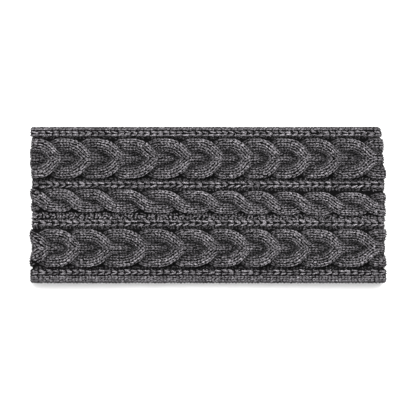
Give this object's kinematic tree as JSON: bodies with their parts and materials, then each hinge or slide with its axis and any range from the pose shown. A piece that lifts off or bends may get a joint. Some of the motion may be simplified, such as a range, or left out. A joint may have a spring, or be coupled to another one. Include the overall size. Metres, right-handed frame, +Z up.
{
  "type": "ear warmer headband",
  "caption": "Cable knit ear warmer headband, a wide closed band lying flat in two layers, with horseshoe and rope cables, chain ribs and turned hems.",
  "frame": {"origin": "middle of the underside of the band as it lies flat", "axes": "+X along the band towards its right fold, +Y across it towards the upper hem, +Z up through its two layers"},
  "size_m": [0.231, 0.101, 0.0218],
  "materials": {
    "wool_knit": "charcoal heather yarn, matt and slightly fuzzy"
  },
  "bodies": {
    "root": {"knit_band": "wool_knit"}
  },
  "joints": []
}
